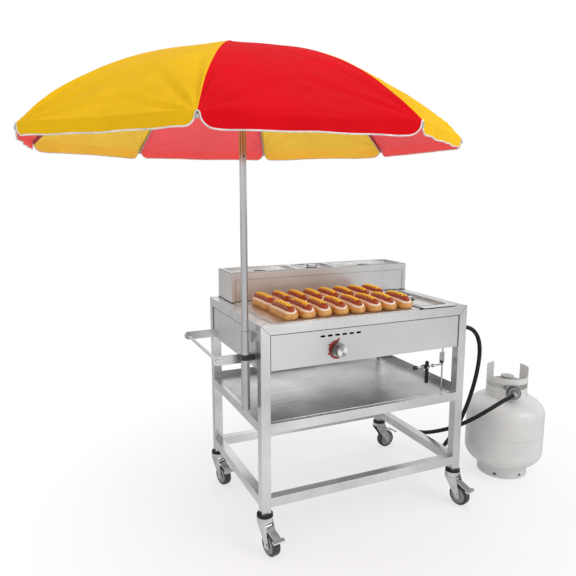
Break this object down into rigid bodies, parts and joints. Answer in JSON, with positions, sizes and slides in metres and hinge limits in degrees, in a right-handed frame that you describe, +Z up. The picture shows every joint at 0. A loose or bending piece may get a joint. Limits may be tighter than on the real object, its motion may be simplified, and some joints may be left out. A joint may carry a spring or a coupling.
{
  "type": "hot dog cart",
  "caption": "Stainless street-food cart with griddle, steam pan, lidded condiment box, folding umbrella, swivel casters and a gas cylinder on a hose.",
  "frame": {"origin": "on the floor below the middle of the whole object's box, measured without the hose", "axes": "+X to the right along the serving side, +Y to the back, +Z up"},
  "size_m": [1.9696, 1.2476, 1.595],
  "materials": {
    "stainless": "satin brushed stainless sheet and tube",
    "pan_steel": "pressed stainless, brighter than the frame",
    "griddle_steel": "used cooking plate, faintly oiled",
    "bread": "baked bread with a browned crust",
    "pipe_metal": "plain steel pipe and fittings",
    "knob_metal": "turned and brushed",
    "red_paint": "satin enamel",
    "black_plastic": "matt moulded plastic",
    "grey_plastic": "matt moulded plastic",
    "pole_metal": "drawn steel tube, satin",
    "canopy_cloth": "coated woven cloth in red and yellow gores",
    "zinc": "bright zinc plate",
    "tyre_rubber": "dark grey solid tyre",
    "cylinder_paint": "pale grey-white powder coat",
    "regulator_metal": "die-cast, grey",
    "hose_rubber": "black rubber, satin"
  },
  "bodies": {
    "cart": {"tube_frame": "stainless", "body_panels": "stainless", "deck_plate": "stainless", "shelf_pan": "stainless", "griddle_plate": "griddle_steel", "hot_dogs": "bread", "gas_burner": "pipe_metal", "knob_scale": "red_paint", "condiment_box": "stainless", "food_pans": "pan_steel", "steam_pan": "pan_steel", "drain_valve": "pipe_metal", "push_handle": "stainless", "pole_socket": "stainless", "caster_plugs": "black_plastic", "swivel_cups": "zinc", "gas_cylinder": "cylinder_paint", "cylinder_valve": "pipe_metal", "regulator": "regulator_metal", "hose_clip": "zinc", "gas_hose": "hose_rubber"},
    "umbrella": {"umbrella_pole": "pole_metal", "canopy": "canopy_cloth"},
    "runner": {"runner": "black_plastic"},
    "rib_1": {"rib_1": "pole_metal"},
    "stretcher_1": {"stretcher_1": "pole_metal"},
    "rib_2": {"rib_2": "pole_metal"},
    "stretcher_2": {"stretcher_2": "pole_metal"},
    "rib_3": {"rib_3": "pole_metal"},
    "stretcher_3": {"stretcher_3": "pole_metal"},
    "rib_4": {"rib_4": "pole_metal"},
    "stretcher_4": {"stretcher_4": "pole_metal"},
    "rib_5": {"rib_5": "pole_metal"},
    "stretcher_5": {"stretcher_5": "pole_metal"},
    "rib_6": {"rib_6": "pole_metal"},
    "stretcher_6": {"stretcher_6": "pole_metal"},
    "rib_7": {"rib_7": "pole_metal"},
    "stretcher_7": {"stretcher_7": "pole_metal"},
    "rib_8": {"rib_8": "pole_metal"},
    "stretcher_8": {"stretcher_8": "pole_metal"},
    "caster_front_left": {"caster_fork_front_left": "zinc"},
    "wheel_front_left": {"caster_wheel_front_left": "tyre_rubber"},
    "brake_front_left": {"brake_pedal_front_left": "zinc"},
    "caster_back_left": {"caster_fork_back_left": "zinc"},
    "wheel_back_left": {"caster_wheel_back_left": "tyre_rubber"},
    "brake_back_left": {"brake_pedal_back_left": "zinc"},
    "caster_front_right": {"caster_fork_front_right": "zinc"},
    "wheel_front_right": {"caster_wheel_front_right": "tyre_rubber"},
    "brake_front_right": {"brake_pedal_front_right": "zinc"},
    "caster_back_right": {"caster_fork_back_right": "zinc"},
    "wheel_back_right": {"caster_wheel_back_right": "tyre_rubber"},
    "brake_back_right": {"brake_pedal_back_right": "zinc"},
    "tap": {"tap_spindle": "pipe_metal"},
    "knob": {"knob": "knob_metal"},
    "lid_left": {"lid_left": "pan_steel"},
    "lid_middle": {"lid_middle": "pan_steel"},
    "lid_right": {"lid_right": "pan_steel"},
    "steam_lid": {"steam_lid": "pan_steel"},
    "drain_lever": {"drain_lever": "black_plastic"},
    "handwheel": {"valve_handwheel": "grey_plastic"}
  },
  "joints": [
    {"name": "pole_lift", "type": "slide", "parent": "cart", "child": "umbrella", "axis": [0, 0, 1], "range_m": [0, 0.2]},
    {"name": "umbrella_fold", "type": "slide", "parent": "umbrella", "child": "runner", "axis": [0, 0, -1], "range_m": [0, 0.3946], "deforming": ["canopy"]},
    {"name": "rib_1_fold", "type": "hinge", "parent": "umbrella", "child": "rib_1", "pos_m": [-0.38193, -0.00673, 1.58255], "axis": [0.3057, -0.9521, 0], "range_deg": [0, 65.31]},
    {"name": "stretcher_1_fold", "type": "hinge", "parent": "runner", "child": "stretcher_1", "pos_m": [-0.37782, -0.00971, 1.404], "axis": [-0.3057, 0.9521, 0], "range_deg": [0, 51.04]},
    {"name": "rib_2_fold", "type": "hinge", "parent": "umbrella", "child": "rib_2", "pos_m": [-0.37104, -0.01957, 1.58255], "axis": [0.8894, -0.4571, 0], "range_deg": [0, 65.31]},
    {"name": "stretcher_2_fold", "type": "hinge", "parent": "runner", "child": "stretcher_2", "pos_m": [-0.36602, -0.01877, 1.404], "axis": [-0.8894, 0.4571, 0], "range_deg": [0, 51.04]},
    {"name": "rib_3_fold", "type": "hinge", "parent": "umbrella", "child": "rib_3", "pos_m": [-0.35426, -0.02095, 1.58255], "axis": [0.9521, 0.3057, 0], "range_deg": [0, 65.31]},
    {"name": "stretcher_3_fold", "type": "hinge", "parent": "runner", "child": "stretcher_3", "pos_m": [-0.35127, -0.01684, 1.404], "axis": [-0.9521, -0.3057, 0], "range_deg": [0, 51.04]},
    {"name": "rib_4_fold", "type": "hinge", "parent": "umbrella", "child": "rib_4", "pos_m": [-0.34142, -0.01006, 1.58255], "axis": [0.4571, 0.8894, 0], "range_deg": [0, 65.31]},
    {"name": "stretcher_4_fold", "type": "hinge", "parent": "runner", "child": "stretcher_4", "pos_m": [-0.34221, -0.00504, 1.404], "axis": [-0.4571, -0.8894, 0], "range_deg": [0, 51.04]},
    {"name": "rib_5_fold", "type": "hinge", "parent": "umbrella", "child": "rib_5", "pos_m": [-0.34003, 0.00673, 1.58255], "axis": [-0.3057, 0.9521, 0], "range_deg": [0, 65.31]},
    {"name": "stretcher_5_fold", "type": "hinge", "parent": "runner", "child": "stretcher_5", "pos_m": [-0.34414, 0.00971, 1.404], "axis": [0.3057, -0.9521, 0], "range_deg": [0, 51.04]},
    {"name": "rib_6_fold", "type": "hinge", "parent": "umbrella", "child": "rib_6", "pos_m": [-0.35093, 0.01957, 1.58255], "axis": [-0.8894, 0.4571, 0], "range_deg": [0, 65.31]},
    {"name": "stretcher_6_fold", "type": "hinge", "parent": "runner", "child": "stretcher_6", "pos_m": [-0.35594, 0.01877, 1.404], "axis": [0.8894, -0.4571, 0], "range_deg": [0, 51.04]},
    {"name": "rib_7_fold", "type": "hinge", "parent": "umbrella", "child": "rib_7", "pos_m": [-0.36771, 0.02095, 1.58255], "axis": [-0.9521, -0.3057, 0], "range_deg": [0, 65.31]},
    {"name": "stretcher_7_fold", "type": "hinge", "parent": "runner", "child": "stretcher_7", "pos_m": [-0.37069, 0.01684, 1.404], "axis": [0.9521, 0.3057, 0], "range_deg": [0, 51.04]},
    {"name": "rib_8_fold", "type": "hinge", "parent": "umbrella", "child": "rib_8", "pos_m": [-0.38055, 0.01006, 1.58255], "axis": [-0.4571, -0.8894, 0], "range_deg": [0, 65.31]},
    {"name": "stretcher_8_fold", "type": "hinge", "parent": "runner", "child": "stretcher_8", "pos_m": [-0.37976, 0.00504, 1.404], "axis": [0.4571, 0.8894, 0], "range_deg": [0, 51.04]},
    {"name": "swivel_front_left", "type": "hinge", "parent": "cart", "child": "caster_front_left", "pos_m": [-0.31798, -0.053, 0.1186], "axis": [0, 0, 1], "continuous": true},
    {"name": "roll_front_left", "type": "hinge", "parent": "caster_front_left", "child": "wheel_front_left", "pos_m": [-0.3105, -0.08821, 0.038], "axis": [0.9781, 0.2079, 0], "continuous": true},
    {"name": "press_front_left", "type": "hinge", "parent": "caster_front_left", "child": "brake_front_left", "pos_m": [-0.31424, -0.07061, 0.094], "axis": [0.9781, 0.2079, 0], "range_deg": [0, 7.4]},
    {"name": "swivel_back_left", "type": "hinge", "parent": "cart", "child": "caster_back_left", "pos_m": [-0.31798, 0.463, 0.1186], "axis": [0, 0, 1], "continuous": true},
    {"name": "roll_back_left", "type": "hinge", "parent": "caster_back_left", "child": "wheel_back_left", "pos_m": [-0.30866, 0.42823, 0.038], "axis": [0.9659, 0.2588, 0], "continuous": true},
    {"name": "press_back_left", "type": "hinge", "parent": "caster_back_left", "child": "brake_back_left", "pos_m": [-0.31332, 0.44561, 0.094], "axis": [0.9659, 0.2588, 0], "range_deg": [0, 7.4]},
    {"name": "swivel_front_right", "type": "hinge", "parent": "cart", "child": "caster_front_right", "pos_m": [0.45802, -0.053, 0.1186], "axis": [0, 0, 1], "continuous": true},
    {"name": "roll_front_right", "type": "hinge", "parent": "caster_front_right", "child": "wheel_front_right", "pos_m": [0.46794, -0.08761, 0.038], "axis": [0.9613, 0.2756, 0], "continuous": true},
    {"name": "press_front_right", "type": "hinge", "parent": "caster_front_right", "child": "brake_front_right", "pos_m": [0.46298, -0.0703, 0.094], "axis": [0.9613, 0.2756, 0], "range_deg": [0, 7.4]},
    {"name": "swivel_back_right", "type": "hinge", "parent": "cart", "child": "caster_back_right", "pos_m": [0.45802, 0.463, 0.1186], "axis": [0, 0, 1], "continuous": true},
    {"name": "roll_back_right", "type": "hinge", "parent": "caster_back_right", "child": "wheel_back_right", "pos_m": [0.494, 0.46426, 0.038], "axis": [-0.0349, 0.9994, 0], "continuous": true},
    {"name": "press_back_right", "type": "hinge", "parent": "caster_back_right", "child": "brake_back_right", "pos_m": [0.47601, 0.46363, 0.094], "axis": [-0.0349, 0.9994, 0], "range_deg": [0, 7.4]},
    {"name": "tap_turn", "type": "hinge", "parent": "cart", "child": "tap", "pos_m": [-0.06098, -0.0665, 0.666], "axis": [0, -1, 0], "range_deg": [0, 180]},
    {"name": "knob_push", "type": "slide", "parent": "tap", "child": "knob", "axis": [0, 1, 0], "range_m": [0, 0.003], "stiffness_N_per_m": 800},
    {"name": "lid_left_lift", "type": "slide", "parent": "cart", "child": "lid_left", "axis": [0, 0, 1], "range_m": [0, 0.15]},
    {"name": "lid_middle_lift", "type": "slide", "parent": "cart", "child": "lid_middle", "axis": [0, 0, 1], "range_m": [0, 0.15]},
    {"name": "lid_right_lift", "type": "slide", "parent": "cart", "child": "lid_right", "axis": [0, 0, 1], "range_m": [0, 0.15]},
    {"name": "steam_lid_lift", "type": "slide", "parent": "cart", "child": "steam_lid", "axis": [0, 0, 1], "range_m": [0, 0.15]},
    {"name": "drain_turn", "type": "hinge", "parent": "cart", "child": "drain_lever", "pos_m": [0.33982, -0.0208, 0.54], "axis": [0, 1, 0], "range_deg": [0, 90]},
    {"name": "valve_turn", "type": "hinge", "parent": "cart", "child": "handwheel", "pos_m": [0.82802, 0.068, 0.404], "axis": [0, 0, 1], "range_deg": [0, 540]}
  ],
  "couplings": [
    {"joint": "rib_1_fold", "follows": "umbrella_fold", "rad_per_m": 2.8881},
    {"joint": "stretcher_1_fold", "follows": "umbrella_fold", "rad_per_m": 2.2569},
    {"joint": "rib_2_fold", "follows": "umbrella_fold", "rad_per_m": 2.8881},
    {"joint": "stretcher_2_fold", "follows": "umbrella_fold", "rad_per_m": 2.2569},
    {"joint": "rib_3_fold", "follows": "umbrella_fold", "rad_per_m": 2.8881},
    {"joint": "stretcher_3_fold", "follows": "umbrella_fold", "rad_per_m": 2.2569},
    {"joint": "rib_4_fold", "follows": "umbrella_fold", "rad_per_m": 2.8881},
    {"joint": "stretcher_4_fold", "follows": "umbrella_fold", "rad_per_m": 2.2569},
    {"joint": "rib_5_fold", "follows": "umbrella_fold", "rad_per_m": 2.8881},
    {"joint": "stretcher_5_fold", "follows": "umbrella_fold", "rad_per_m": 2.2569},
    {"joint": "rib_6_fold", "follows": "umbrella_fold", "rad_per_m": 2.8881},
    {"joint": "stretcher_6_fold", "follows": "umbrella_fold", "rad_per_m": 2.2569},
    {"joint": "rib_7_fold", "follows": "umbrella_fold", "rad_per_m": 2.8881},
    {"joint": "stretcher_7_fold", "follows": "umbrella_fold", "rad_per_m": 2.2569},
    {"joint": "rib_8_fold", "follows": "umbrella_fold", "rad_per_m": 2.8881},
    {"joint": "stretcher_8_fold", "follows": "umbrella_fold", "rad_per_m": 2.2569}
  ]
}
